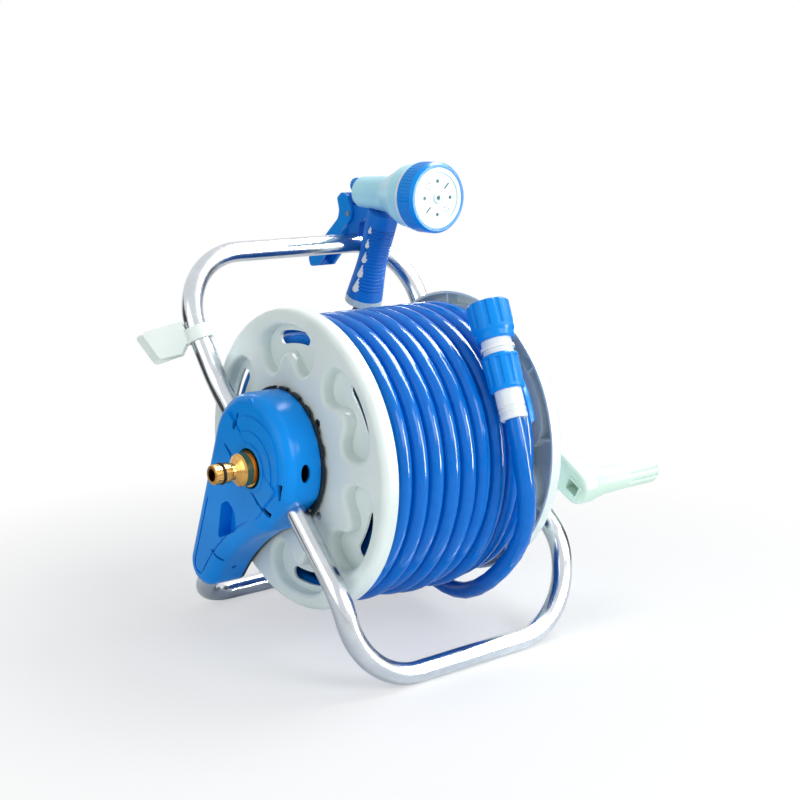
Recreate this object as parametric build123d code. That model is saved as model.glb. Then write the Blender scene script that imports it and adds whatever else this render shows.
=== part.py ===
import os
from math import acos, atan2, cos, degrees, pi, radians, sin, sqrt, tan

from build123d import *

# Driving dimensions, in millimetres.
# The model is drawn about the reel: X along the drum axis with the crank at +X, Y to the rear, Z up.

# Bent steel frame
tube_radius = 9.0
tube_wall = 1.2
side_x = 117.0
floor_bar_z = -158.5
top_bar_x, top_bar_y, top_bar_z = 132.0, 136.0, 158.0
handle_start = (44.0, 17.0)
handle_kink = (84.0, 54.0)
front_start = (-26.0, -27.0)
front_knee = (-94.0, -88.0)
front_bar_x, front_bar_y = 109.0, -112.0
rear_start_x = 113.0
rear_start = (78.0, -94.0)
rear_bar_x, rear_bar_y = 109.0, 149.5

# Side covers
cover_face_x = 138.0
cover_back_x = 104.5
cover_wall = 2.5
cover_round = 11.0
dome_centre, dome_radius = (7.0, 3.0), 56.0
foot_centre, foot_radius = (88.0, -104.0), 20.0
plate_front_x = 101.5
plate_rim_radius = 58.4
notch_angles = [84.0, 102.0, 120.0, 138.0, 156.0, 174.0]

# Reel flanges and drum
flange_radius = 125.0
flange_face_x = 99.5
flange_rim_x = 86.0
right_inset = 10.0
flange_wall = 2.2
flange_round = 6.0
pocket_count = 6
pocket_first_angle = 26.0
pocket_depth = 10.5
rib_count = 12
rib_first_angle = 6.0
barrel_radius = 62.0
barrel_wall = 2.5
hub_radius = 30.0
hub_inner_x = 80.0
spindle_radius = 10.0
running_clearance = 0.05

# Crank
crank_radius = 96.0
crank_angle = 208.7
crank_inner_x = 142.5
crank_thickness = 20.0
crank_boss_x = 171.0
grip_length = 75.0
grip_radius = 12.4

# Garden hose
hose_radius = 7.5


def polar(centre, radius, angle):
    """Point at an angle in degrees round a centre, in a drawing plane."""
    return (centre[0] + radius * cos(radians(angle)), centre[1] + radius * sin(radians(angle)))


def mirrored(shape):
    """The same piece on the other side of the reel."""
    return mirror(shape, about=Plane.YZ)


def turned(*profile):
    """Solid of revolution about the drum axis through (x, radius) corners."""
    return revolve(make_face(Polyline(*profile, close=True)), axis=Axis.X)


def rounded(points, rounds):
    """Closed face through the points; rounds gives a radius for each corner, 0 for a sharp one."""
    face = Sketch() + make_face(Polyline(*points, close=True))
    for radius in sorted(set(rounds) - {0}):
        corners = [Vector(*point) for point, r in zip(points, rounds) if r == radius]
        chosen = [v for v in face.vertices() if min((Vector(*v) - c).length for c in corners) < 1e-4]
        face = fillet(chosen, radius)
    return face


def grown(face, amount):
    """Outline moved outwards by the amount, or inwards by a negative one, with true arcs all round."""
    edges = offset(face, amount=amount).edges()
    return make_face(
        [ThreePointArc(e @ 0, e @ 0.5, e @ 1) if e.geom_type == GeomType.OFFSET else e for e in edges]
    )


def slab(face, x, thickness):
    """A (y, z) drawing extruded along X from the plane at x."""
    return extrude(Plane.YZ.offset(x) * face, amount=thickness)


def rod(start, end, radius):
    """Round bar between two points."""
    run = Vector(*end) - Vector(*start)
    return extrude(Plane(Vector(*start), z_dir=run) * Circle(radius), amount=run.length)


def cross_screw(x, y, z, reach):
    """Countersunk screw with its head flush at x, driven along X for the reach (signed)."""
    way = 1 if reach > 0 else -1
    body = turned((0, 0), (0, 3.4), (2.0, 1.5), (abs(reach), 1.5), (abs(reach), 0))
    if way < 0:
        body = mirrored(body)
    return Pos(x, y, z) * body


# Frame tubes: two long bends for handle and front legs, one short bend for the rear legs
handle_half = [
    (-side_x, *handle_start),
    (-side_x, *handle_kink),
    (-top_bar_x, top_bar_y, top_bar_z),
]
front_half = [
    (-side_x, *front_start),
    (-side_x - 2.0, *front_knee),
    (-front_bar_x, front_bar_y, floor_bar_z),
]
rear_half = [
    (-rear_start_x, *rear_start),
    (-rear_bar_x, rear_bar_y, floor_bar_z),
]


def bent_tube(half, radii):
    """Hollow tube along the left-hand points and their mirror images."""
    points = half + [(-x, y, z) for x, y, z in reversed(half)]
    path = FilletPolyline(*points, radius=radii + radii[::-1])
    end = Plane(path @ 0, z_dir=path % 0)
    bore = sweep(end * Circle(tube_radius - tube_wall), path=path)
    return sweep(end * Circle(tube_radius), path=path) - bore


handle_tube = bent_tube(handle_half, [80.0, 62.0])
front_leg_tube = bent_tube(front_half, [55.0, 62.0])
rear_leg_tube = bent_tube(rear_half, [42.0])


# Side covers: a rounded dome over the hub with a foot towards the rear leg
def cover_outline():
    """Dome arc, straight mouth for the front leg, hollow lower edge and round foot."""
    run = Vector(*foot_centre) - Vector(*dome_centre)
    lean = degrees(atan2(run.Y, run.X) + acos((dome_radius - foot_radius) / run.length))
    dome_rear = polar(dome_centre, dome_radius, lean)
    foot_rear = polar(foot_centre, foot_radius, lean)
    mouth_front = polar(dome_centre, dome_radius, 205.7)
    mouth_low = (-8.0, -54.0)
    foot_front = polar(foot_centre, foot_radius, 217.0)
    edges = [
        ThreePointArc(dome_rear, polar(dome_centre, dome_radius, 110.0), mouth_front),
        Line(mouth_front, mouth_low),
        ThreePointArc(mouth_low, (36.0, -79.0), foot_front),
        ThreePointArc(foot_front, polar(foot_centre, foot_radius, 310.0), foot_rear),
        Line(foot_rear, dome_rear),
    ]
    face = Sketch() + make_face(edges)
    corners = [Vector(*mouth_front), Vector(*mouth_low), Vector(*foot_front)]
    chosen = [v for v in face.vertices() if min((Vector(*v) - c).length for c in corners) < 1e-4]
    return fillet(chosen, cover_round + 1.0)


cover_plan = cover_outline()
cover_inside = grown(cover_plan, -cover_wall)
cover_flat = grown(cover_plan, -cover_round)
cover_screw_places = [(-22.0, 34.0), (40.0, -18.0), (26.0, -52.0), (2.0, 52.0)]
tube_screw_places = [(-side_x, 54.0, 26.5), (-side_x, -33.5, -33.8), (-rear_start_x + 0.8, 92.0, -106.5)]
band_angle = 39.0
band_width = 25.0


def tube_run(half):
    """Straight bar that fills the first run of a frame tube."""
    start = Vector(*half[0])
    return rod(start, start + (Vector(*half[1]) - start).normalized() * 60.0, tube_radius)


def tube_socket(half, outside):
    """Moulded sleeve round the first run of a tube, kept inside the cover."""
    start = Vector(*half[0])
    way = (Vector(*half[1]) - start).normalized()
    return rod(start, start + way * 60.0, tube_radius + 3.0) & outside


def side_cover(centre_hole):
    """Left-hand cover: shell, tube sockets, screw posts and the relief on its face."""
    depth = cover_face_x - cover_back_x
    outside = slab(cover_plan, -cover_back_x, -depth)
    outside = fillet(outside.edges().group_by(Axis.X)[0], cover_round)
    inside = slab(cover_inside, -cover_back_x, -(depth - cover_wall))
    inside = fillet(inside.edges().group_by(Axis.X)[0], cover_round - cover_wall)
    body = outside - inside
    for half in (handle_half, front_half, rear_half):
        body += tube_socket(half, outside)
    for y, z in cover_screw_places:
        body += rod((-cover_back_x, y, z), (-cover_face_x + 1.0, y, z), 4.5)
    flat = slab(cover_flat, -cover_face_x + 0.5, -5.0)
    band_plan = Rot(0, 0, band_angle) * Rectangle(150.0, band_width)
    for radius, height in ((42.0, 1.1), (30.0, 2.1), (20.5, 3.1)):
        body += slab(Circle(radius), -cover_face_x + 0.5, -0.5 - height) & flat
    band_reach = slab(grown(cover_plan, -cover_round - 0.8), -cover_face_x + 0.6, -5.0)
    body += slab(band_plan, -cover_face_x + 0.4, -3.0) & band_reach
    for along, side in ((37.0, -1), (-27.0, -1)):
        slot = rounded([(-13, -3.0), (13, -1.0), (13, 1.0), (-13, 3.0)], [1.2, 0, 0, 1.2])
        place = Rot(0, 0, band_angle) * Pos(along, side * (band_width / 2 + 1.0))
        body -= slab(place * slot, -cover_face_x - 5.0, 11.0)
    for along, turn in ((38.0, 60.0), (-38.0, 240.0)):
        hook = rounded([(-7, -2.8), (7, -0.8), (7, 0.8), (-7, 2.0)], [1.0, 0, 0, 1.0])
        place = Rot(0, 0, band_angle) * Pos(along, band_width / 2 + 2.0) * Rot(0, 0, turn)
        body -= slab(place * hook, -cover_face_x - 5.0, 11.0)
    window = rounded(
        [(49, -41), (38, -35), (26.5, -45), (26.5, -59.5), (56, -73)], [5.0, 7.0, 7.0, 5.0, 2.5]
    )
    body += slab(grown(window, 2.2), -cover_face_x + 1.0, 13.0)
    body -= slab(window, -cover_face_x - 5.0, 17.0)
    rim = grown(cover_plan, -cover_round - 0.8) - grown(cover_plan, -cover_round - 2.6)
    rim &= Pos(70.0, -95.0) * Rectangle(120.0, 110.0)
    body -= slab(rim, -cover_face_x - 1.0, 2.0)
    slit = Pos(61.0, -89.0) * Rot(0, 0, 32.0) * SlotOverall(15.0, 2.6)
    body -= slab(slit, -cover_face_x - 3.0, 9.0)
    body -= slab(Circle(centre_hole), -cover_face_x - 5.0, 20.0)
    side_hole = Plane.XZ.offset(30.0) * Pos(-119.0, 2.0) * Ellipse(4.4, 7.6)
    body -= extrude(side_hole, amount=40.0)
    body -= rod((-119.0, 70.0, -96.0), (-119.0, 50.0, -116.0), 2.2)
    for half in (handle_half, front_half, rear_half):
        body -= tube_run(half)
    for y, z in cover_screw_places:
        body -= rod((-cover_back_x, y, z), (-cover_back_x - 20.0, y, z), 1.5)
    return body


left_cover = side_cover(16.6)
right_cover = mirrored(side_cover(14.0))


# Back plates: close the covers towards the reel, with a notched rim that shows behind the dome
def back_plate(centre_hole):
    """Left-hand plate with its notched rim, centre hole and countersunk screw holes."""
    thickness = cover_back_x - plate_front_x
    body = slab(cover_plan + Pos(*dome_centre) * Circle(plate_rim_radius), -cover_back_x, thickness)
    for angle in notch_angles:
        notch = Pos(*dome_centre) * Rot(0, 0, angle) * Pos(plate_rim_radius, 0) * Rectangle(6.5, 8.0)
        outside_cover = notch - grown(cover_plan, 0.3)
        body -= slab(outside_cover, -cover_back_x - 1.0, thickness + 2.0)
    body -= slab(Circle(centre_hole), -cover_back_x - 1.0, thickness + 2.0)
    for y, z in cover_screw_places:
        body -= cross_screw(-plate_front_x, y, z, -18.0)
    for x, y, z in tube_screw_places:
        body -= cross_screw(-plate_front_x, y, z, -24.0)
    return body


left_back_plate = back_plate(spindle_radius + 0.3) - tube_run(rear_half)
right_back_plate = mirrored(back_plate(13.0) - tube_run(rear_half))
left_cover_screws = [cross_screw(-plate_front_x, y, z, -18.0) for y, z in cover_screw_places]
right_cover_screws = [mirrored(screw) for screw in left_cover_screws]
left_tube_screws = [cross_screw(-plate_front_x, y, z, -24.0) for x, y, z in tube_screw_places]
tube_screws = left_tube_screws + [mirrored(screw) for screw in left_tube_screws]
handle_tube -= [tube_screws[0], tube_screws[3]]
front_leg_tube -= [tube_screws[1], tube_screws[4]]
rear_leg_tube -= [tube_screws[2], tube_screws[5]]
left_cover -= left_tube_screws
right_cover -= tube_screws[3:]


# Water inlet: brass nipple with its seal, screwed into the fixed swivel spindle
def inlet_nipple_body():
    """Turned nipple with a knurled ring."""
    body = turned(
        (-175.0, 5.2), (-175.0, 7.4), (-174.2, 8.1), (-168.6, 8.1), (-168.6, 6.4), (-165.8, 6.4),
        (-165.8, 8.4), (-160.5, 8.4), (-158.5, 6.6), (-156.0, 6.8), (-151.6, 12.6), (-150.0, 13.6),
        (-144.2, 13.6), (-143.6, 12.6), (-142.6, 12.6), (-142.2, 15.0), (-133.0, 15.0),
        (-133.0, 9.0), (-124.0, 9.0), (-124.0, 5.2),
    )
    groove_plan = Plane.YZ.offset(-143.0) * Pos(15.3, 0) * Rot(0, 0, 45) * Rectangle(1.3, 1.3)
    groove = extrude(groove_plan, amount=9.0)
    return body - [Rot(360.0 / 48 * index, 0, 0) * groove for index in range(48)]


inlet_nipple = inlet_nipple_body()
inlet_o_ring = Pos(-167.2, 0, 0) * Rot(0, 90, 0) * Torus(7.75, 1.35)
spindle_grooves = (-76.0, -69.0)
swivel_spindle = turned(
    (-133.0, 9.0), (-133.0, 14.0), (-130.0, 16.0), (-cover_back_x, 16.0), (-cover_back_x, spindle_radius),
    (-64.0, spindle_radius), (-64.0, 5.2), (-124.0, 5.2), (-124.0, 9.0),
)
spindle_seals = [Pos(x, 0, 0) * Rot(0, 90, 0) * Torus(8.8, 1.2) for x in spindle_grooves]
for x in spindle_grooves:
    swivel_spindle -= turned((x - 1.2, 7.6), (x - 1.2, 12.0), (x + 1.2, 12.0), (x + 1.2, 7.6))
crank_bush = turned(
    (plate_front_x, spindle_radius + running_clearance), (plate_front_x, 13.0), (cover_back_x, 13.0),
    (cover_back_x, 17.0), (108.0, 17.0), (108.0, 13.5), (122.0, 13.5),
    (122.0, spindle_radius + running_clearance),
)


# Reel flanges: dished mouldings with six kidney pockets
def pocket_plan(grow):
    """Smooth kidney about the angle zero: two round lobes, its hub side pushed in between them."""
    half = [
        (112.0, 0), (111.5, 9.0), (108.5, 16.5), (101.5, 21.8), (91.5, 23.8), (81.0, 22.2), (74.5, 17.2),
        (76.0, 11.6), (82.5, 7.0), (87.5, 3.4), (89.0, 0),
    ]
    outline = half + [(radius, -angle) for radius, angle in half[-2:0:-1]]
    points = [Vector(*polar((0, 0), radius, angle)) for radius, angle in outline]
    moved = []
    for index, point in enumerate(points):
        along = points[(index + 1) % len(points)] - points[index - 1]
        moved.append(point + Vector(along.Y, -along.X).normalized() * grow)
    return make_face(Spline(*moved, periodic=True))


def flange_body(hub_bore):
    """Left-hand flange: face and skirt, pockets, radial ribs and hub."""
    outer = flange_face_x
    inner = outer - flange_wall
    skin = flange_radius - flange_wall
    face = make_face(
        [
            Polyline((-flange_rim_x, skin), (-flange_rim_x, flange_radius),
                     (-outer + flange_round, flange_radius)),
            ThreePointArc(
                (-outer + flange_round, flange_radius),
                (-outer + flange_round * (1 - sqrt(0.5)), flange_radius - flange_round * (1 - sqrt(0.5))),
                (-outer, flange_radius - flange_round),
            ),
            Polyline((-outer, flange_radius - flange_round), (-outer, hub_bore), (-hub_inner_x, hub_bore),
                     (-hub_inner_x, hub_radius), (-inner, hub_radius), (-inner, skin - 4.0)),
            ThreePointArc((-inner, skin - 4.0), (-inner + 1.2, skin - 1.2), (-inner + 4.0, skin)),
            Line((-inner + 4.0, skin), (-flange_rim_x, skin)),
        ]
    )
    body = revolve(face, axis=Axis.X)
    plain, walled = pocket_plan(0), pocket_plan(flange_wall)
    slit = SlotArc(CenterArc((0, 0), 101.0, -9.0, 18.0), 11.0)
    pocket = slab(plain, -outer - 1.0, pocket_depth + 1.0) + slab(slit, -outer, pocket_depth + 5.0)
    bulge = slab(walled, -outer + 1.0, pocket_depth + flange_wall - 1.0)
    pocket_turns = [Rot(pocket_first_angle + 60.0 * index, 0, 0) for index in range(pocket_count)]
    rib_plan = Rectangle(flange_radius - barrel_radius - 3.0, 1.8)
    rib = slab(Pos(0.5 * (barrel_radius + flange_radius), 0) * rib_plan, -inner - 0.5, pocket_depth)
    body += [Rot(rib_first_angle + 30.0 * index, 0, 0) * rib for index in range(rib_count)]
    body += [turn * bulge for turn in pocket_turns]
    body -= [turn * pocket for turn in pocket_turns]
    lips = [
        edge for edge in body.edges().filter_by_position(Axis.X, -outer - 0.01, -outer + 0.01)
        if 60.0 < Vector(0, edge.center().Y, edge.center().Z).length < 112.0
    ]
    return fillet(lips, 4.0)


left_flange = flange_body(spindle_radius + running_clearance)
right_flange = Pos(-right_inset, 0, 0) * Rot(0, 0, 180) * flange_body(spindle_radius)
right_face_x = flange_face_x - right_inset
right_flange += turned(
    (right_face_x - 1.0, spindle_radius), (right_face_x - 1.0, 19.0), (plate_front_x - 0.6, 17.0),
    (plate_front_x - 0.6, spindle_radius),
)


# Drum: barrel between the flanges, held by screws into posts inside it
barrel_left, barrel_right = flange_wall - flange_face_x, right_face_x - flange_wall
drum_screw_angles = [45.0, 135.0, 225.0, 315.0]
drum_screw_radius = 54.0
lead_x, lead_z = -54.0, -44.0


def drum_barrel_body():
    """Open tube with screw posts at both ends and a hole for the hose."""
    inner = barrel_radius - barrel_wall
    body = turned(
        (barrel_left, inner), (barrel_left, barrel_radius),
        (barrel_right, barrel_radius), (barrel_right, inner),
    )
    for angle in drum_screw_angles:
        y, z = polar((0, 0), drum_screw_radius, angle)
        for x in (barrel_left, barrel_right - 22.0):
            body += rod((x, y, z), (x + 22.0, y, z), 5.8)
    return body - rod((lead_x, -20.0, lead_z), (lead_x, -70.0, lead_z), hose_radius + 0.5)


drum_screws = []
for angle in drum_screw_angles:
    y, z = polar((0, 0), drum_screw_radius, angle)
    drum_screws.append(cross_screw(-flange_face_x, y, z, 20.0))
    drum_screws.append(cross_screw(right_face_x, y, z, -20.0))
drum_barrel = drum_barrel_body() - drum_screws
left_flange -= drum_screws[0::2]
right_flange -= drum_screws[1::2]

# Turning elbow: takes the water from the spindle to the first turn of hose
water_elbow = turned(
    (-hub_inner_x, spindle_radius + running_clearance), (-hub_inner_x, 15.0), (-44.0, 15.0), (-44.0, 0),
    (-49.0, 0), (-49.0, 5.2), (-62.0, 5.2), (-62.0, spindle_radius + running_clearance),
)
water_elbow += rod((lead_x, 0, -8.0), (lead_x, 0, lead_z - 8.0), 9.0)
water_elbow += rod((lead_x, 0, lead_z), (lead_x, -32.0, lead_z), 5.8)
water_elbow -= rod((lead_x, 0, 0), (lead_x, 0, lead_z), 4.2)
water_elbow -= rod((lead_x, 0, lead_z), (lead_x, -33.0, lead_z), 4.2)
hose_lead = rod((lead_x, -11.0, lead_z), (lead_x, -75.0, lead_z), hose_radius)
hose_lead &= turned((-85.0, 0), (-85.0, barrel_radius + 0.3), (0, barrel_radius + 0.3), (0, 0))
hose_lead -= rod((lead_x, 0, lead_z), (lead_x, -32.0, lead_z), 5.8)
hose_clamp = rod((lead_x, -16.0, lead_z), (lead_x, -24.0, lead_z), hose_radius + 1.0)
hose_clamp += Pos(lead_x, -20.0, lead_z + 9.0) * Box(9.0, 8.0, 5.0)
hose_clamp -= rod((lead_x, 0, lead_z), (lead_x, -32.0, lead_z), hose_radius)

# Crank: axle fixed in the right flange, arm on its square end, grip turning on a pin
hub_right_x = hub_inner_x - right_inset
crank_axle = turned(
    (hub_right_x - 6.0, 0), (hub_right_x - 6.0, 22.0), (hub_right_x, 22.0), (hub_right_x, spindle_radius),
    (crank_inner_x, spindle_radius), (crank_inner_x, 0),
)
crank_axle += Pos(0.5 * (crank_inner_x + 157.0), 0, 0) * Box(157.0 - crank_inner_x, 13.0, 13.0)
crank_face_x = crank_inner_x + crank_thickness
crank_screw = turned(
    (145.0, 0), (145.0, 2.5), (crank_face_x, 2.5), (crank_face_x, 5.0),
    (crank_face_x + 2.0, 4.6), (crank_face_x + 3.2, 2.5), (crank_face_x + 3.2, 0),
)
crank_screw -= Pos(crank_face_x + 2.4, 0, 0) * Box(2.0, 7.0, 1.0)
crank_axle -= rod((145.0, 0, 0), (160.0, 0, 0), 2.5)
crank_end = polar((0, 0), crank_radius, crank_angle)


def crank_arm_body():
    """Tapered arm with a round boss for the grip and a square seat for the axle."""
    plan = make_hull((Circle(19.0).edges() + (Pos(*crank_end) * Circle(15.6)).edges()))
    body = slab(plan, crank_inner_x, crank_thickness)
    body = fillet(body.edges().group_by(Axis.X)[0] + body.edges().group_by(Axis.X)[-1], 4.0)
    boss_start = crank_inner_x + 8.0
    boss = turned((boss_start, 0), (boss_start, 15.2), (crank_boss_x, 13.4), (crank_boss_x, 0))
    body += Pos(0, *crank_end) * boss
    body -= Pos(0.5 * (crank_inner_x + 157.0) - 1, 0, 0) * Box(157.0 - crank_inner_x + 2, 13.0, 13.0)
    body -= rod((150.0, 0, 0), (165.0, 0, 0), 2.5)
    place = Pos(*crank_end) * Rot(0, 0, crank_angle)
    body += slab(place * RectangleRounded(17.0, 13.5, 1.5), crank_inner_x - 1.2, 4.0)
    body -= slab(place * RectangleRounded(13.5, 10.0, 1.0), crank_inner_x - 2.0, 13.0)
    return body - rod((crank_inner_x, *crank_end), (crank_boss_x + 1.0, *crank_end), 4.0)


def crank_grip_body():
    """Handle sleeve with a rounded outer end and ten flutes on its outer half."""
    start, end = crank_boss_x + 0.4, crank_boss_x + 0.4 + grip_length
    face = make_face(
        [
            Line((start, 0), (start, grip_radius)),
            Line((start, grip_radius), (start + 30.0, grip_radius - 0.9)),
            Line((start + 30.0, grip_radius - 0.9), (end - 6.0, grip_radius - 0.9)),
            ThreePointArc(
                (end - 6.0, grip_radius - 0.9), (end - 1.8, grip_radius - 2.7), (end, grip_radius - 6.9)
            ),
            Line((end, grip_radius - 6.9), (end, 0)),
            Line((end, 0), (start, 0)),
        ]
    )
    body = revolve(face, axis=Axis.X)
    flute = rod((start + 34.0, 0, grip_radius + 0.4), (end + 2.0, 0, grip_radius + 0.4), 2.3)
    body -= [Rot(36.0 * index, 0, 0) * flute for index in range(10)]
    body -= rod((start - 1.0, 0, 0), (end - 6.0, 0, 0), 4.0 + running_clearance)
    return Pos(0, *crank_end) * body


crank_arm = crank_arm_body()
crank_grip = crank_grip_body()
grip_pin = rod((crank_inner_x + 12.0, *crank_end), (crank_boss_x + grip_length - 8.0, *crank_end), 4.0)


# Hose on the drum: plain core for the covered layers, one wound tube for the layer on show
layer_radius = 110.0
layer_turns = 9
layer_start_x, layer_end_x = -78.0, 66.5
layer_start_angle = -150.0
layer_pitch = (layer_end_x - layer_start_x) / layer_turns
lead_run = 2 * hose_radius


def winding_point(half_turns):
    """Point and direction of the wound hose after a number of half turns."""
    angle = radians(layer_start_angle + 180.0 * half_turns)
    place = Vector(
        layer_start_x + 0.5 * layer_pitch * half_turns, -layer_radius * cos(angle), layer_radius * sin(angle)
    )
    way = Vector(layer_pitch / (2 * pi), layer_radius * sin(angle), layer_radius * cos(angle))
    return place, way.normalized()


def half_turn_arcs(start, start_way, end, end_way):
    """Two arcs that join smoothly and take the winding through half a turn."""
    chord = end - start
    ways = start_way + end_way
    spread = 1 - start_way.dot(end_way)
    along = chord.dot(ways)
    reach = (sqrt(along**2 + 2 * spread * chord.dot(chord)) - along) / (2 * spread)
    first_corner = start + start_way * reach
    last_corner = end - end_way * reach
    middle = (first_corner + last_corner) * 0.5
    middle_way = last_corner - first_corner
    return [TangentArc(start, middle, tangent=start_way), TangentArc(middle, end, tangent=middle_way)]


winding_start, winding_way = winding_point(0)
winding_end, winding_end_way = winding_point(2 * layer_turns)
winding_mouth = winding_start - winding_way * lead_run
winding_tip = winding_end + winding_end_way * lead_run
winding_edges = [Line(winding_mouth, winding_start)]
for half_turn in range(2 * layer_turns):
    winding_edges += half_turn_arcs(*winding_point(half_turn), *winding_point(half_turn + 1))
winding_edges.append(Line(winding_end, winding_tip))
winding_path = Wire(winding_edges)
hose_outer_layer = sweep(Plane(winding_mouth, z_dir=winding_way) * Circle(hose_radius), path=winding_path)

core_radius = layer_radius - hose_radius - 1.0
hose_inner_layers = turned(
    (-84.0, barrel_radius + 0.3), (-84.0, core_radius), (74.0, core_radius), (74.0, barrel_radius + 0.3)
)
riser_plane = Plane(winding_mouth, x_dir=(1, 0, 0), z_dir=-winding_way)
riser = extrude(riser_plane * Rectangle(13.6, 34.0), amount=22.0)
riser &= turned((-90.0, 90.0), (-90.0, 119.0), (-60.0, 119.0), (-60.0, 90.0))
hose_inner_layers += riser

# Free end of the hose: leaves the last turn, crosses to the front and rises to the connector
connector_lean = radians(27.0)
connector_place = Vector(31.0, -132.4 * cos(connector_lean), 132.4 * sin(connector_lean))
connector_way = Vector(0.09, sin(connector_lean), cos(connector_lean)).normalized()
connector_base = connector_place - connector_way * 23.5
tail_inset = 22.0


def round_drum(x, radius, angle):
    """Point beside the drum; the angle runs from the front over the top."""
    return Vector(x, -radius * cos(radians(angle)), radius * sin(radians(angle)))


tail_points = [
    winding_tip,
    winding_tip + winding_end_way * 54.0,
    round_drum(62.0, 143.0, -93.0),
    round_drum(52.0, 146.0, -66.0),
    round_drum(39.0, 151.0, -24.0),
    connector_base - connector_way * 34.0,
    connector_base + connector_way * tail_inset,
]


def bend_radii(points):
    """Radius at each inner point, so that a bend takes nine tenths of its shorter run."""
    radii = []
    for before, here, after in zip(points, points[1:], points[2:]):
        turn = radians((here - before).get_angle(after - here))
        shorter = min((here - before).length, (after - here).length)
        radii.append(0.45 * shorter / tan(0.5 * turn))
    return radii


tail_radii = bend_radii(tail_points)
tail_path = FilletPolyline(*tail_points, radius=tail_radii)
hose_tail = sweep(Plane(winding_tip, z_dir=winding_end_way) * Circle(hose_radius), path=tail_path)

# Quick connector on the free end: collar, fluted nut, body with a flat seal, sliding release sleeve
connector_plane = Plane(connector_base, x_dir=connector_way, z_dir=Vector(0, 1, 0).cross(connector_way))
socket_radius = 8.2
sleeve_bore = 12.5 + running_clearance


def fluted(body, start, end, radius, cutter_radius, count):
    """Lengthwise flutes round a body that was turned about X."""
    flute = rod((start, 0, radius), (end, 0, radius), cutter_radius)
    return body - [Rot(360.0 / count * index, 0, 0) * flute for index in range(count)]


hose_collar = connector_plane * turned(
    (0, 7.5), (0, 10.4), (1.5, 11.2), (4.0, 11.2), (4.0, 10.6), (6.0, 10.6), (6.0, 11.2), (8.5, 11.2),
    (8.5, 10.6), (10.5, 10.6), (10.5, 11.2), (26.0, 11.2), (26.0, 5.0), (tail_inset, 5.0), (tail_inset, 7.5),
)
connector_nut = turned(
    (24.0, 11.2), (24.0, 13.4), (25.5, 14.4), (52.5, 15.2), (54.0, 14.2),
    (54.0, 5.0), (26.0, 5.0), (26.0, 11.2),
)
connector_nut = connector_plane * fluted(connector_nut, 28.0, 50.5, 17.2, 3.6, 10)
connector_body = connector_plane * turned(
    (54.0, 5.0), (54.0, 12.5), (58.5, 12.5), (58.5, 14.0), (61.0, 14.0), (61.0, 12.5), (94.0, 12.5),
    (94.0, socket_radius), (77.0, socket_radius), (77.0, 7.6), (74.5, 7.6), (74.5, 5.0),
)
connector_seal = connector_plane * turned(
    (74.5, 5.0), (74.5, 7.6), (76.5, 7.6), (76.5, 5.0)
)
release_sleeve = turned(
    (66.5, sleeve_bore), (66.5, 14.6), (68.0, 15.8), (72.0, 16.2), (74.5, 17.6), (97.0, 17.8), (98.5, 16.4),
    (98.5, sleeve_bore),
)
release_sleeve = connector_plane * fluted(release_sleeve, 77.0, 99.5, 19.7, 3.4, 10)

# Spray gun hung over the top bar: barrel towards the front, grip down, trigger behind the bar
gun_x = 73.0
gun_axis_z = 205.5
gun_plane = Plane((gun_x, 0, gun_axis_z), x_dir=(0, -1, 0), z_dir=(0, 0, 1))
barrel_rear, barrel_front = -131.0, -46.0
barrel_shape = [
    (barrel_rear, 0), (barrel_rear, 14.6), (-86.0, 16.6),
    (-57.0, 28.5), (barrel_front, 28.5), (barrel_front, 0),
]
barrel_solid = revolve(rounded(barrel_shape, [0, 4.0, 22.0, 14.0, 0, 0]), axis=Axis.X)
barrel_hollow = turned((-128.0, 0), (-128.0, 11.0), (-85.0, 13.8), (-56.0, 25.6), (-45.0, 25.6), (-45.0, 0))
gun_barrel = gun_plane * (barrel_solid - barrel_hollow)
gun_trim_ring = gun_plane * turned(
    (barrel_front, 8.0), (barrel_front, 28.0), (-45.0, 29.3), (-42.5, 29.3), (-41.5, 28.3), (-41.5, 8.0)
)

# Spray head: ribbed dial with a face plate that carries a ring of jets
dial_back, dial_front, dial_radius = -41.2, -20.0, 31.0
jet_ring_radius = 14.5
spray_dial = turned(
    (dial_back, 24.0), (dial_back, 30.0), (dial_back + 1.2, dial_radius), (dial_front - 3.0, dial_radius),
    (dial_front, 29.0), (dial_front, 26.5), (-26.0, 26.5), (-26.0, 24.0),
)
spray_dial = gun_plane * fluted(spray_dial, dial_back - 1.0, -24.5, 31.6, 1.0, 60)


def jet_cutters():
    """Openings of the spray patterns: round jets, rings of fine holes and slots."""
    cutters = [rod((-30.0, 0, 0), (-10.0, 0, 0), 2.2)]
    for index in range(8):
        y, z = polar((0, 0), jet_ring_radius, 45.0 * index)
        if index % 2 == 0:
            cutters.append(rod((-30.0, y, z), (-10.0, y, z), 1.7))
        elif index % 4 == 1:
            cutters.append(slab(Pos(y, z) * Rot(0, 0, 45.0 * index) * SlotOverall(7.0, 1.6), -30.0, 20.0))
        else:
            for hole in range(5):
                place = polar((y, z), 2.6, 72.0 * hole)
                cutters.append(rod((-30.0, *place), (-10.0, *place), 0.6))
    return cutters


spray_face = turned(
    (-27.5, 0), (-27.5, 24.0), (-26.0, 24.0), (-26.0, 26.5), (-20.6, 26.5), (-20.6, 22.4), (-21.6, 21.8),
    (-21.6, 5.0), (-20.2, 4.2), (-20.2, 0),
)
spray_face -= jet_cutters()
spray_face = gun_plane * spray_face

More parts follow.
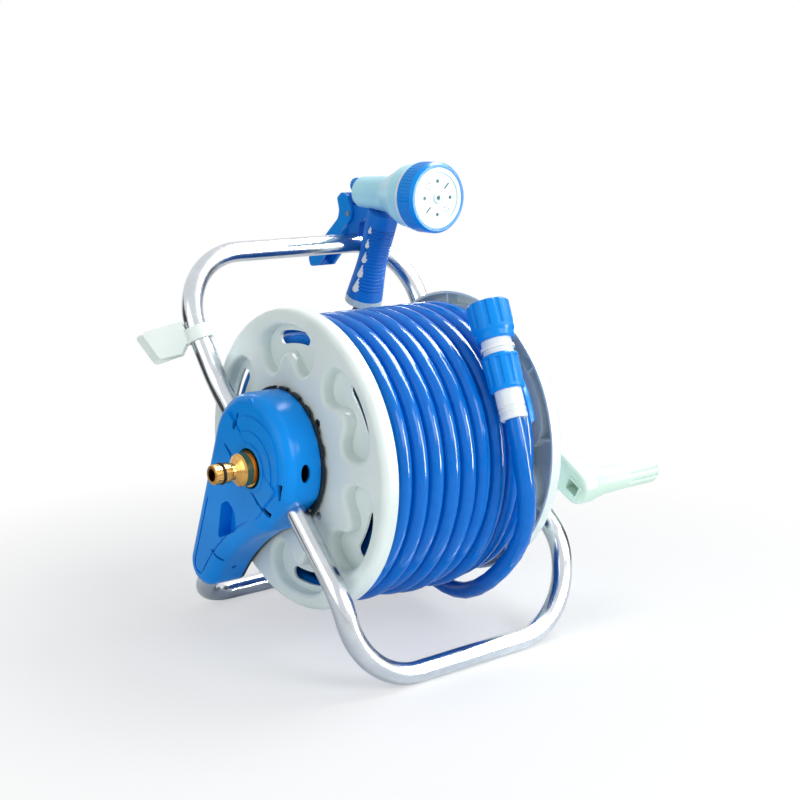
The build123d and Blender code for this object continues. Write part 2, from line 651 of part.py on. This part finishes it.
# Gun grip: oval handle that thickens downwards, with a saddle that rests on the bar
grip_top = Vector(gun_x, 98.8, 188.2)
grip_way = Vector(0, 0.351, -0.936).normalized()
grip_plane = Plane(grip_top, x_dir=(1, 0, 0), z_dir=grip_way)
grip_stations = [
    (0, 14.0, 14.5), (22.0, 14.3, 14.2), (45.0, 13.8, 13.6), (68.0, 15.6, 15.2), (85.5, 17.5, 16.8)
]


def grip_loft(growth):
    """Handle through its oval sections, thicker all round by the growth."""
    return grip_plane * loft([Pos(0, 0, t) * Ellipse(a + growth, b + growth) for t, a, b in grip_stations])


def grip_half_widths(place):
    """Half widths of the handle at a distance from its top."""
    for (t0, a0, b0), (t1, a1, b1) in zip(grip_stations, grip_stations[1:]):
        if t0 <= place <= t1:
            share = (place - t0) / (t1 - t0)
            return a0 + share * (a1 - a0), b0 + share * (b1 - b0)


def grip_grooves():
    """Grooves for the fingers across the front of the handle."""
    grooves = []
    for index in range(19):
        place = 13.0 + 3.4 * index
        a, b = grip_half_widths(place)
        ring = Ellipse(a + 3.0, b + 3.0) - Ellipse(a - 0.9, b - 0.9)
        ring &= Pos(0, 13.0) * Rectangle(60.0, 22.0)
        grooves.append(grip_plane * extrude(Pos(0, 0, place) * ring, amount=1.5))
    return grooves


def drop_inlays():
    """Five drops on each side of the handle, larger towards its end."""
    skin = grip_loft(0.3) - grip_loft(-1.2)
    drops = []
    for index in range(5):
        place, size = 17.0 + 14.5 * index, 1.6 + 0.4 * index
        tip = [(-0.96 * size, -0.28 * size), (0, -3.6 * size), (0.96 * size, -0.28 * size)]
        drop = Circle(size) + make_face(Polyline(*tip, close=True))
        side = Plane(grip_top + grip_way * place, x_dir=(0, -grip_way.Z, grip_way.Y), z_dir=(1, 0, 0))
        prism = extrude(side * Pos(-3.5, 0) * Rot(0, 0, 180) * drop, amount=30.0, both=True)
        drops += (prism & skin).solids()
    return drops


gun_drop_inlays = drop_inlays()
trigger_pivot = (139.3, 185.5)
saddle = ThreePointArc((142.6, 164.7), (top_bar_y, top_bar_z + 9.4), (129.4, 164.7))
neck_face = make_face(
    [
        Line((98.0, 196.0), (137.0, 193.0)),
        ThreePointArc((137.0, 193.0), (144.8, 190.4), (146.5, 183.0)),
        Line((146.5, 183.0), (142.6, 164.7)),
        saddle,
        Line((129.4, 164.7), (126.0, 178.0)),
        Line((126.0, 178.0), (110.0, 187.0)),
        Line((110.0, 187.0), (98.0, 196.0)),
    ]
)
gun_grip = grip_loft(0) + slab(neck_face, gun_x - 7.0, 14.0)
gun_grip -= gun_plane * barrel_solid
gun_grip -= grip_grooves()
gun_grip -= gun_drop_inlays
gun_grip -= rod((gun_x - 20.0, *trigger_pivot), (gun_x + 20.0, *trigger_pivot), 2.5)
gun_base_ring = grip_plane * extrude(Pos(0, 0, 85.5) * Ellipse(17.8, 17.1), amount=6.5)
grip_turn_plane = Plane(grip_top, x_dir=grip_way, z_dir=(1, 0, 0))
gun_inlet_nipple = grip_turn_plane * turned(
    (92.0, 0), (92.0, 11.0), (95.0, 11.0), (95.0, 8.0), (100.5, 8.0), (100.5, 6.6), (104.0, 6.6),
    (104.0, 8.0), (116.0, 8.0), (116.0, 4.5), (94.0, 4.5), (94.0, 0),
)
gun_inlet_o_ring = grip_turn_plane * turned(
    (100.6, 6.6), (100.6, 7.6), (101.4, 8.4), (103.1, 8.4), (103.9, 7.6), (103.9, 6.6)
)

# Trigger: channel-shaped lever on a cross pin, with a slot near its tip
trigger_points = [
    (141.0, 202.5), (150.0, 205.0), (157.5, 199.5), (154.0, 188.0), (156.5, 180.0), (206.0, 139.0),
    (203.0, 130.5), (191.0, 132.0), (170.0, 152.0), (150.0, 170.5), (136.5, 180.0), (135.0, 188.0),
]
trigger_rounds = [2.5, 4.0, 3.0, 9.0, 9.0, 3.0, 4.0, 4.0, 30.0, 20.0, 3.0, 5.0]
trigger_inside = [
    (130.0, 210.0), (145.0, 208.0), (149.0, 187.0), (152.0, 177.0), (195.0, 141.0),
    (190.0, 124.0), (130.0, 150.0),
]
trigger = slab(rounded(trigger_points, trigger_rounds), gun_x - 10.4, 20.8)
trigger -= slab(make_face(Polyline(*trigger_inside, close=True)), gun_x - 7.4, 14.8)
trigger -= rod((gun_x - 20.0, *trigger_pivot), (gun_x + 20.0, *trigger_pivot), 2.5 + running_clearance)
tip_slot_plane = Plane((gun_x, 199.5, 144.4), x_dir=(1, 0, 0), z_dir=(0, 0.638, 0.770))
trigger -= extrude(tip_slot_plane * SlotOverall(9.0, 3.4), amount=10.0, both=True)
trigger_pin = rod((gun_x - 11.4, *trigger_pivot), (gun_x + 11.4, *trigger_pivot), 2.5)

# Flow knob at the back of the barrel
knob_z = 6.0
gun_barrel += gun_plane * Pos(0, 0, knob_z) * turned(
    (-134.0, 0), (-134.0, 3.0), (-129.0, 3.0), (-129.0, 0)
)
knob_bore = 3.0 + running_clearance
flow_knob = turned(
    (-142.0, 0), (-142.0, 6.0), (-141.0, 7.0), (-131.4, 7.0), (-131.4, knob_bore),
    (-134.2, knob_bore), (-134.2, 0),
)
flow_knob = gun_plane * Pos(0, 0, knob_z) * fluted(flow_knob, -143.0, -130.0, 7.7, 1.2, 16)

# Accessory clip: ring round the handle tube with a flat open jaw
clip_run = (Vector(*handle_half[2]) - Vector(*handle_half[1])).normalized()
clip_centre = Vector(*handle_half[1]) + clip_run * 45.5
clip_side = Vector(-0.784, 0.621, 0)
clip_plane = Plane(clip_centre, x_dir=clip_side - clip_run * clip_side.dot(clip_run), z_dir=clip_run)
clip_gap = 0.4


def accessory_clip_body():
    """Ring with two tilted plates that share a back wall and open outwards."""
    bore = Cylinder(tube_radius + clip_gap, 40.0)
    body = Cylinder(tube_radius + clip_gap + 2.2, 12.0)
    front = [(9.5, 14.0), (44.5, 17.5), (37.5, -9.5), (19.0, -12.0)]
    rear = [(9.5, 14.0), (52.0, 18.5), (44.5, -10.5), (19.0, -12.0)]
    back_wall = [
        (8.0, 5.5), (9.5, 14.0), (11.9, 14.2), (21.4, -11.8), (19.0, -12.0), (12.5, -5.5), (8.0, -5.5)
    ]
    body += extrude(Plane.XZ.offset(-6.4) * rounded(front, [0, 3.0, 3.0, 2.0]), amount=2.2)
    body += extrude(Plane.XZ.offset(4.2) * rounded(rear, [0, 3.0, 3.0, 2.0]), amount=2.2)
    body += extrude(Plane.XZ.offset(-6.4) * make_face(Polyline(*back_wall, close=True)), amount=12.8)
    return clip_plane * (body - bore)


accessory_clip = accessory_clip_body()

# Pieces by name; groups of like pieces share one name
pieces = {
    "handle_tube": handle_tube,
    "front_leg_tube": front_leg_tube,
    "rear_leg_tube": rear_leg_tube,
    "left_cover": left_cover,
    "left_back_plate": left_back_plate,
    "right_cover": right_cover,
    "right_back_plate": right_back_plate,
    "left_cover_screws": left_cover_screws,
    "right_cover_screws": right_cover_screws,
    "tube_screws": tube_screws,
    "inlet_nipple": inlet_nipple,
    "inlet_o_ring": inlet_o_ring,
    "swivel_spindle": swivel_spindle,
    "spindle_seals": spindle_seals,
    "crank_bush": crank_bush,
    "left_flange": left_flange,
    "right_flange": right_flange,
    "drum_barrel": drum_barrel,
    "drum_screws": drum_screws,
    "water_elbow": water_elbow,
    "hose_clamp": hose_clamp,
    "crank_axle": crank_axle,
    "crank_arm": crank_arm,
    "crank_screw": crank_screw,
    "grip_pin": grip_pin,
    "crank_grip": crank_grip,
    "gun_barrel": gun_barrel,
    "gun_trim_ring": gun_trim_ring,
    "spray_dial": spray_dial,
    "spray_face": spray_face,
    "gun_grip": gun_grip,
    "gun_drop_inlays": gun_drop_inlays,
    "gun_base_ring": gun_base_ring,
    "gun_inlet_nipple": gun_inlet_nipple,
    "gun_inlet_o_ring": gun_inlet_o_ring,
    "trigger": trigger,
    "trigger_pin": trigger_pin,
    "flow_knob": flow_knob,
    "accessory_clip": accessory_clip,
}
hose_pieces = {
    "hose_lead": hose_lead,
    "hose_inner_layers": hose_inner_layers,
    "hose_outer_layer": hose_outer_layer,
    "hose_tail": hose_tail,
    "hose_collar": hose_collar,
    "connector_nut": connector_nut,
    "connector_body": connector_body,
    "connector_seal": connector_seal,
    "release_sleeve": release_sleeve,
}


def as_one(piece):
    """A piece, or a group of like pieces as one compound."""
    return Compound(piece) if isinstance(piece, list) else piece


# The origin is on the floor, under the middle of the reel without its hose
whole = Compound([as_one(piece) for piece in pieces.values()]).bounding_box()
to_floor = Pos(-whole.center().X, -whole.center().Y, -whole.min.Z)
os.makedirs("parts", exist_ok=True)
for name, piece in {**pieces, **hose_pieces}.items():
    export_step(to_floor * as_one(piece), f"parts/{name}.step")


def least_gap(path, radius, turns, steps):
    """Least gap between each turn of a wound tube and the next, on points along it."""
    points = [path @ (step / steps) for step in range(steps + 1)]
    turn, reach = round(steps / turns), 12
    nearest = 2 * radius + turn
    for i, here in enumerate(points[: -turn - reach]):
        beside = points[i + turn - reach : i + turn + reach]
        nearest = min(nearest, min((here - there).length for there in beside))
    return nearest - 2 * radius


section = pi * hose_radius**2
print("origin in the drawing", to_floor.position)
print("winding gap", round(least_gap(winding_path, hose_radius, layer_turns, 4000), 3))
print("winding volume ratio", round(hose_outer_layer.volume / (section * winding_path.length), 4))
print("tail bend radii", [round(radius, 1) for radius in tail_radii])
print("tail length", round(tail_path.length, 1))
print("tail volume ratio", round(hose_tail.volume / (section * tail_path.length), 4))
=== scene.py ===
"""A garden hose reel: bent tube frame, cranked drum of hose, quick connector and spray gun."""

from math import cos, pi, radians, sin

import bpy
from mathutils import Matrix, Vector


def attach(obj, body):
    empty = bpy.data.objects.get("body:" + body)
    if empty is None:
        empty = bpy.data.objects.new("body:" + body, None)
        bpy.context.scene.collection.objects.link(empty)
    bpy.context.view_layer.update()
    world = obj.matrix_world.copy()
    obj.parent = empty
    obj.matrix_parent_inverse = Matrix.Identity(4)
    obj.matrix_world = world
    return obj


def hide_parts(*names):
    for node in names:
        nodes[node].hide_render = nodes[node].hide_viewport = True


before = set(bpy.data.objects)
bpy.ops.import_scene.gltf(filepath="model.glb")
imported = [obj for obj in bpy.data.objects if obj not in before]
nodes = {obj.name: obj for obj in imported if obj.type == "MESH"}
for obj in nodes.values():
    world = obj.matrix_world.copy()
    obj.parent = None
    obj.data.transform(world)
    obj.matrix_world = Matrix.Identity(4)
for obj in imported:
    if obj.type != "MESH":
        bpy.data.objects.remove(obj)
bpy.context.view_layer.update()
bpy.ops.object.select_all(action="DESELECT")

# The studio: a pale floor that runs into a white background, soft boxes in front and above
# and a weak fill at the left, with flags and cards that only gloss and metal mirror. The
# camera stands at the reel's front left, a little above it.
drum = Vector((-0.0357, -0.04024, 0.1675))


def from_drum(x, y, z):
    """A place in millimetres from the middle of the drum, as a point of the frame."""
    return drum + Vector((x, y, z)) / 1000


def linear(hex_colour):
    """An sRGB hex colour as linear RGBA."""
    channels = [int(hex_colour[i : i + 2], 16) / 255 for i in (1, 3, 5)]
    return [c / 12.92 if c <= 0.04045 else ((c + 0.055) / 1.055) ** 2.4 for c in channels] + [1.0]


def add_node(tree, kind, inputs=(), **settings):
    """A shader node with its settings; inputs are pairs of socket and value or linked output."""
    node = tree.nodes.new(kind)
    for key, value in settings.items():
        setattr(node, key, value)
    for socket, value in inputs:
        if isinstance(value, bpy.types.NodeSocket):
            tree.links.new(value, node.inputs[socket])
        else:
            node.inputs[socket].default_value = value
    return node


camera_place = (-721.5, -928.3, 284.8)
camera_tilt_down, camera_turn = 11.869, -38.39
lens_mm, sensor_mm = 63.072, 36
camera = bpy.data.objects.new("camera", bpy.data.cameras.new("camera"))
bpy.context.scene.collection.objects.link(camera)
camera.location = from_drum(*camera_place)
camera.rotation_euler = (radians(90 - camera_tilt_down), 0, radians(camera_turn))
camera.data.sensor_width = sensor_mm
camera.data.lens = lens_mm
camera.data.clip_start = 0.05
bpy.context.scene.camera = camera
bpy.context.scene.view_settings.view_transform = "Standard"

world = bpy.data.worlds.new("white studio")
bpy.context.scene.world = world
world.use_nodes = True
world.node_tree.nodes.clear()
rays = add_node(world.node_tree, "ShaderNodeLightPath")
seen = add_node(world.node_tree, "ShaderNodeMath", [(0, rays.outputs["Is Camera Ray"]),
                (1, rays.outputs["Is Glossy Ray"])], operation="MAXIMUM")
seen = add_node(world.node_tree, "ShaderNodeMath", [(0, seen.outputs[0]),
                (1, rays.outputs["Is Transmission Ray"])], operation="MAXIMUM")
ambient = add_node(world.node_tree, "ShaderNodeBackground",
                   [("Color", linear("#F8F9FA")), ("Strength", 0.42)])
white = add_node(world.node_tree, "ShaderNodeBackground",
                 [("Color", linear("#FFFFFF")), ("Strength", 1.0)])
sky = add_node(world.node_tree, "ShaderNodeMixShader", [(0, seen.outputs[0]), (1, ambient.outputs[0]),
               (2, white.outputs[0])])
add_node(world.node_tree, "ShaderNodeOutputWorld", [("Surface", sky.outputs[0])])


def soft_box(name, place, width, height, power):
    """An area lamp at a place from the drum, turned towards the drum."""
    lamp = bpy.data.lights.new(name, "AREA")
    lamp.shape = "RECTANGLE"
    lamp.size = width
    lamp.size_y = height
    lamp.energy = power
    holder = bpy.data.objects.new(name, lamp)
    bpy.context.scene.collection.objects.link(holder)
    holder.location = from_drum(*place)
    holder.rotation_euler = (drum - holder.location).to_track_quat("-Z", "Y").to_euler()


soft_box("front soft box", (150, -1250, 620), 0.6, 0.6, 9.2)
soft_box("top soft box", (600, -130, 1050), 0.6, 0.6, 7)
soft_box("left fill", (-1250, -150, 500), 0.9, 0.9, 3.5)

floor_material = bpy.data.materials.new("white studio paper")
floor_material.use_nodes = True
tree = floor_material.node_tree
tree.nodes.clear()
white_from = 0.58  # metres from the drum at which the paper is plain white
rays = add_node(tree, "ShaderNodeLightPath")
place = add_node(tree, "ShaderNodeTexCoord")
middle = add_node(tree, "ShaderNodeMapping", [("Vector", place.outputs["Object"]),
                  ("Location", (-drum.x / white_from, -drum.y / white_from, 0)),
                  ("Scale", (1 / white_from, 1 / white_from, 1))])
near = add_node(tree, "ShaderNodeTexGradient", [("Vector", middle.outputs[0])],
                gradient_type="SPHERICAL")
fade = add_node(tree, "ShaderNodeMapRange", [("Value", near.outputs["Fac"]), ("From Max", 0.5),
                ("To Min", 1.0), ("To Max", 0.5)])
share = add_node(tree, "ShaderNodeMath", [(0, fade.outputs[0]), (1, rays.outputs["Is Camera Ray"])],
                 operation="MULTIPLY")
matt = add_node(tree, "ShaderNodeBsdfDiffuse", [("Color", linear("#F2F4F5"))])
glow = add_node(tree, "ShaderNodeEmission", [("Color", linear("#FFFFFF")), ("Strength", 1.0)])
lit = add_node(tree, "ShaderNodeMixShader", [(0, share.outputs[0]), (1, matt.outputs[0]),
               (2, glow.outputs[0])])
add_node(tree, "ShaderNodeOutputMaterial", [("Surface", lit.outputs[0])])
bpy.ops.mesh.primitive_plane_add(size=8, location=(drum.x, drum.y, 0))
floor = bpy.context.object
floor.name = "studio_floor"
bpy.ops.object.transform_apply()
floor.data.materials.append(floor_material)

black_cloth = bpy.data.materials.new("black flag cloth")
black_cloth.use_nodes = True
shader = black_cloth.node_tree.nodes["Principled BSDF"]
shader.inputs["Base Color"].default_value = linear("#1C1F22")
shader.inputs["Roughness"].default_value = 0.9


def lit_card(name, strength):
    """White card that glows with the strength."""
    material = bpy.data.materials.new(name)
    material.use_nodes = True
    material.node_tree.nodes.clear()
    glow = add_node(material.node_tree, "ShaderNodeEmission", [("Strength", strength)])
    add_node(material.node_tree, "ShaderNodeOutputMaterial", [("Surface", glow.outputs[0])])
    return material


def panel(name, place, width, height, material):
    """A flat panel at a place from the drum that faces the drum; only gloss and metal mirror it."""
    spot = from_drum(*place)
    bpy.ops.mesh.primitive_plane_add(size=1, location=spot)
    board = bpy.context.object
    board.name = name
    board.scale = (width, height, 1)
    board.rotation_euler = (drum - spot).to_track_quat("Z", "Y").to_euler()
    bpy.ops.object.transform_apply()
    board.data.materials.append(material)
    board.visible_camera = False
    board.visible_diffuse = False
    board.visible_shadow = False


panel("left_flag", (-520, 560, 0), 0.55, 0.5, black_cloth)
panel("right_flag", (620, -60, -20), 0.4, 0.45, black_cloth)
panel("top_card", (640, -110, 850), 0.85, 0.75, lit_card("bright top card", 34.0))
panel("front_card", (700, -940, 100), 0.22, 0.9, lit_card("bright front card", 60.0))


# The frame: three lengths of 18 mm steel tube, bent cold and bright galvanised,
# so the bends shine with long streaks and a faint bluish grey.
def new_finish(name):
    """An empty material with its shader, ready for nodes."""
    material = bpy.data.materials.new(name)
    material.use_nodes = True
    tree = material.node_tree
    return material, tree, tree.nodes["Principled BSDF"]


def dress(material, *names):
    """The material on solids of the frame."""
    for name in names:
        nodes[name].material_slots[0].material = material


zinc, tree, shader = new_finish("bright galvanised steel tube")
spangle_mm = 14
place = add_node(tree, "ShaderNodeTexCoord")
spangle = add_node(tree, "ShaderNodeTexNoise", [("Vector", place.outputs["Object"]),
                   ("Scale", 1000 / spangle_mm), ("Detail", 3.0)])
tone = add_node(tree, "ShaderNodeValToRGB", [(0, spangle.outputs["Fac"])])
tone.color_ramp.elements[0].color = linear("#BCC2C8")
tone.color_ramp.elements[1].color = linear("#DCE1E5")
tree.links.new(tone.outputs[0], shader.inputs["Base Color"])
wipe = add_node(tree, "ShaderNodeMapRange", [("Value", spangle.outputs["Fac"]),
                ("To Min", 0.13), ("To Max", 0.22)])
tree.links.new(wipe.outputs[0], shader.inputs["Roughness"])
shader.inputs["Metallic"].default_value = 1.0
dress(zinc, "handle_tube", "front_leg_tube", "rear_leg_tube")


# The side covers: glossy blue ABS shells, injection moulded, with raised discs, a band
# and slots on the face. The tubes end in sockets inside them. The gloss shows as soft
# pale streaks along the rounded edges.
def moulded(name, colour, shade, roughness, specular=0.3, flow_mm=45, grain_mm=0.9, bump=0.02,
            edge_mm=0.5):
    """Moulded plastic: a faint flow shade in the colour and a fine moulding grain in the gloss."""
    material, tree, shader = new_finish(name)
    place = add_node(tree, "ShaderNodeTexCoord")
    flow = add_node(tree, "ShaderNodeTexNoise", [("Vector", place.outputs["Object"]),
                    ("Scale", 1000 / flow_mm), ("Detail", 2.0)])
    tone = add_node(tree, "ShaderNodeValToRGB", [(0, flow.outputs["Fac"])])
    tone.color_ramp.elements[0].position = 0.35
    tone.color_ramp.elements[1].position = 0.65
    tone.color_ramp.elements[0].color = linear(shade)
    tone.color_ramp.elements[1].color = linear(colour)
    tree.links.new(tone.outputs[0], shader.inputs["Base Color"])
    grain = add_node(tree, "ShaderNodeTexNoise", [("Vector", place.outputs["Object"]),
                     ("Scale", 1000 / grain_mm), ("Detail", 2.0)])
    gloss = add_node(tree, "ShaderNodeMapRange", [("Value", grain.outputs["Fac"]),
                     ("To Min", roughness * 0.85), ("To Max", roughness * 1.15)])
    tree.links.new(gloss.outputs[0], shader.inputs["Roughness"])
    edge = add_node(tree, "ShaderNodeBevel", [("Radius", edge_mm / 1000)], samples=4)
    relief = add_node(tree, "ShaderNodeBump", [("Height", grain.outputs["Fac"]), ("Strength", bump),
                      ("Distance", 0.0002), ("Normal", edge.outputs[0])])
    tree.links.new(relief.outputs[0], shader.inputs["Normal"])
    shader.inputs["IOR"].default_value = 1.5
    shader.inputs["Specular IOR Level"].default_value = specular
    return material


blue_abs = moulded("glossy blue ABS", "#0A92F0", "#088BE8", 0.24, specular=0.15)
dress(blue_abs, "left_cover", "right_cover")

# The back plates: dark moulded nylon, screwed into the covers on the drum's side. They show
# only as a dull notched ring round the dome.
dark_nylon = moulded("dark moulded nylon", "#1B2733", "#17212C", 0.45)
dress(dark_nylon, "left_back_plate", "right_back_plate")

# Screws and pins: zinc plated steel, turned or cold headed. They hold plates, tubes and
# drum together and look grey and half bright.
plated, tree, shader = new_finish("zinc plated screw steel")
wear_mm = 3
place = add_node(tree, "ShaderNodeTexCoord")
wear = add_node(tree, "ShaderNodeTexNoise", [("Vector", place.outputs["Object"]),
                ("Scale", 1000 / wear_mm)])
tone = add_node(tree, "ShaderNodeValToRGB", [(0, wear.outputs["Fac"])])
tone.color_ramp.elements[0].color = linear("#A3A6A8")
tone.color_ramp.elements[1].color = linear("#D2D5D8")
tree.links.new(tone.outputs[0], shader.inputs["Base Color"])
shader.inputs["Metallic"].default_value = 1.0
shader.inputs["Roughness"].default_value = 0.3
dress(plated, "left_cover_screws", "right_cover_screws", "tube_screws", "drum_screws", "crank_screw",
      "grip_pin", "trigger_pin", "hose_clamp")

# The water inlet: a turned brass nipple with a knurled ring, polished on its lands and
# duller in the knurl, and a black rubber ring in its groove.
brass, tree, shader = new_finish("turned polished brass")
turning_mm, round_mm = 0.8, 33.3
place = add_node(tree, "ShaderNodeTexCoord")
lathe = add_node(tree, "ShaderNodeMapping", [("Vector", place.outputs["Object"]),
                 ("Scale", (1000 / turning_mm, 1000 / round_mm, 1000 / round_mm))])
marks = add_node(tree, "ShaderNodeTexNoise", [("Vector", lathe.outputs[0]), ("Scale", 1.0),
                 ("Detail", 1.0)])
tone = add_node(tree, "ShaderNodeValToRGB", [(0, marks.outputs["Fac"])])
tone.color_ramp.elements[0].color = linear("#C98B3C")
tone.color_ramp.elements[1].color = linear("#E8BE74")
tree.links.new(tone.outputs[0], shader.inputs["Base Color"])
wipe = add_node(tree, "ShaderNodeMapRange", [("Value", marks.outputs["Fac"]),
                ("To Min", 0.12), ("To Max", 0.26)])
tree.links.new(wipe.outputs[0], shader.inputs["Roughness"])
shader.inputs["Metallic"].default_value = 1.0
dress(brass, "inlet_nipple")
black_rubber = moulded("black nitrile rubber", "#161616", "#101010", 0.5)
dress(black_rubber, "inlet_o_ring", "spindle_seals", "connector_seal", "gun_inlet_o_ring")

# The swivel: a fixed spindle and a turning elbow inside the drum, and the crank's axle
# and bush at the other end, all in grey acetal, which is slightly waxy.
grey_acetal = moulded("grey acetal", "#6E7378", "#666B70", 0.38)
dress(grey_acetal, "swivel_spindle", "crank_bush", "water_elbow", "crank_axle")

# The drum: two dished flanges and a barrel in pale mint polypropylene. It lets a little
# light into its edges and has a satin shine.
mint_white = moulded("pale mint polypropylene", "#E6F1EE", "#DFEBE8", 0.36)
dress(mint_white, "left_flange", "right_flange", "drum_barrel")

# The hose: blue PVC, 15 mm thick outside, extruded smooth and so glossy that each turn has
# a white streak. It leaves the elbow's barb, goes through the barrel and fills three layers;
# its free end leaves the last turn and rises at the front into the connector.
hose_mm = 15.0
points_per_turn = 16
spline_draw = cos(pi / points_per_turn)  # the curve cuts its corners by this share
sag_power = 2.2  # keeps the sag to the lower half of a turn


def round_drum(x, radius, angle):
    """A point beside the drum in millimetres; the angle runs from the front over the top."""
    return (x, -radius * cos(radians(angle)), radius * sin(radians(angle)))


def turns(first_x, last_x, radius, next_radius, first_angle, count, sags=()):
    """Control points of one layer, climbing to the next layer in its last half turn.

    The sags say how many millimetres each loose turn hangs below the drum.
    """
    steps = round(count * points_per_turn)
    places = []
    for step in range(steps):
        share = step / steps
        climb = max(0.0, (share * count - count + 0.5) / 0.5)
        there = radius + (next_radius - radius) * climb * climb * (3 - 2 * climb)
        angle = first_angle + 360 * count * share
        if sags:
            from_top = int((angle + 270) // 360)  # whole turns, counted at the top of the drum
            there += sags[from_top] * (0.5 - 0.5 * sin(radians(angle))) ** sag_power
        places.append(round_drum(first_x + (last_x - first_x) * share, there / spline_draw, angle))
    return places


lead_x, layer_left, layer_right = -54.0, -78.0, 66.5
first_radius, second_radius, outer_radius = 70.5, 90.0, 110.0
layer_turns = 9
barrel_angle, change_angle = -18.0, -150.0
first_turns = 7 + 228 / 360
loose_sags = [5, 8, 6, 10, 12, 9, 13, 10, 7, 0]
lead = [(lead_x, -10.0, -44.0), (lead_x, -38.0, -44.0)]
first_layer = turns(lead_x, layer_right, first_radius, second_radius, barrel_angle, first_turns)
second_layer = turns(layer_right, layer_left, second_radius, outer_radius, change_angle, layer_turns)
outer_layer = turns(layer_left, layer_right, outer_radius, outer_radius, change_angle, layer_turns,
                    loose_sags)

# The free end: it runs straight off the last turn, then through listed points into the connector,
# which leans against the winding at the front.
connector_lean = radians(27.0)
connector_x, connector_radius, connector_half = 31.0, 132.4, 23.5
connector_way = Vector((0.09, sin(connector_lean), cos(connector_lean))).normalized()
connector_middle = Vector((connector_x, -connector_radius * cos(connector_lean),
                           connector_radius * sin(connector_lean)))
connector_base = connector_middle - connector_half * connector_way
last_turn_end = Vector(round_drum(layer_right, outer_radius, change_angle))
leaving_way = Vector((0.0232, sin(radians(change_angle)), cos(radians(change_angle)))).normalized()
straight_off, straight_in, hose_inset = 69, 34, 22
tail = [
    tuple(last_turn_end + straight_off * leaving_way),
    round_drum(62.0, 143.0, -93.0),
    round_drum(52.0, 146.0, -66.0),
    round_drum(39.0, 151.0, -24.0),
    tuple(connector_base - straight_in * connector_way),
    tuple(connector_base + hose_inset * connector_way),
]
route = lead + first_layer + second_layer + outer_layer + tail
hose_line = bpy.data.curves.new("garden_hose", "CURVE")
hose_line.dimensions = "3D"
hose_line.bevel_depth = hose_mm / 2000
hose_line.bevel_resolution = 5
hose_line.resolution_u = 4
spline = hose_line.splines.new("NURBS")
spline.points.add(len(route) - 1)
for point, spot in zip(spline.points, route):
    point.co = (*from_drum(*spot), 1.0)
spline.order_u = 3
spline.use_endpoint_u = True
hose = bpy.data.objects.new("garden_hose", hose_line)
bpy.context.scene.collection.objects.link(hose)

blue_pvc, tree, shader = new_finish("glossy extruded blue PVC")
draw_mm = 9
place = add_node(tree, "ShaderNodeTexCoord")
draw = add_node(tree, "ShaderNodeTexNoise", [("Vector", place.outputs["Object"]),
                ("Scale", 1000 / draw_mm), ("Detail", 2.0)])
tone = add_node(tree, "ShaderNodeValToRGB", [(0, draw.outputs["Fac"])])
tone.color_ramp.elements[0].color = linear("#0068C6")
tone.color_ramp.elements[1].color = linear("#0374D4")
tree.links.new(tone.outputs[0], shader.inputs["Base Color"])
wipe = add_node(tree, "ShaderNodeMapRange", [("Value", draw.outputs["Fac"]),
                ("To Min", 0.09), ("To Max", 0.15)])
tree.links.new(wipe.outputs[0], shader.inputs["Roughness"])
shader.inputs["IOR"].default_value = 1.53
shader.inputs["Specular IOR Level"].default_value = 0.18
hose_line.materials.append(blue_pvc)
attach(hose, "reel")
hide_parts("hose_lead", "hose_inner_layers", "hose_outer_layer", "hose_tail")

# The quick connector: a white collar and body with a fluted blue nut between them, and the
# blue sleeve that slides back to let go of a fitting. All glossy ABS.
white_abs = moulded("glossy white ABS", "#F2F6F6", "#EAF0F1", 0.25)
dress(white_abs, "hose_collar", "connector_body", "gun_trim_ring", "gun_drop_inlays")
dress(blue_abs, "connector_nut", "release_sleeve")

# The crank: a mint green arm on the axle's square end, and a fluted grip of the same
# polypropylene that turns on a steel pin.
mint_green = moulded("mint green polypropylene", "#D6F0E1", "#CCE8D8", 0.34)
dress(mint_green, "crank_arm", "crank_grip")

# The accessory clip: a ring with an open jaw, moulded in near-white polypropylene and snapped
# round the left handle tube, where it can swivel. Its satin shine keeps the edges soft.
pale_clip = moulded("near-white polypropylene", "#F2FCF6", "#EBF6F0", 0.32)
dress(pale_clip, "accessory_clip")

# The spray gun: a glossy pale blue barrel, a ribbed blue dial with a pale face of jets, a
# grip of soft, dull blue rubber with white drops, a trigger and a flow knob. It hangs on
# the top bar and clicks onto the hose's connector by its inlet.
pale_blue_abs = moulded("glossy pale blue ABS", "#B6F0FF", "#AEE9FD", 0.25)
dress(pale_blue_abs, "gun_barrel")
dress(blue_abs, "spray_dial", "trigger", "flow_knob")
pale_aqua_abs = moulded("pale aqua ABS", "#D0ECEE", "#C8E5E8", 0.3)
dress(pale_aqua_abs, "spray_face")
grip_rubber = moulded("soft blue grip rubber", "#0A78DA", "#086ECC", 0.42, specular=0.2)
dress(grip_rubber, "gun_grip")
pale_grey_abs = moulded("pale grey ABS", "#C3D8E1", "#BAD0DA", 0.3)
dress(pale_grey_abs, "gun_base_ring")
dress(dark_nylon, "gun_inlet_nipple")
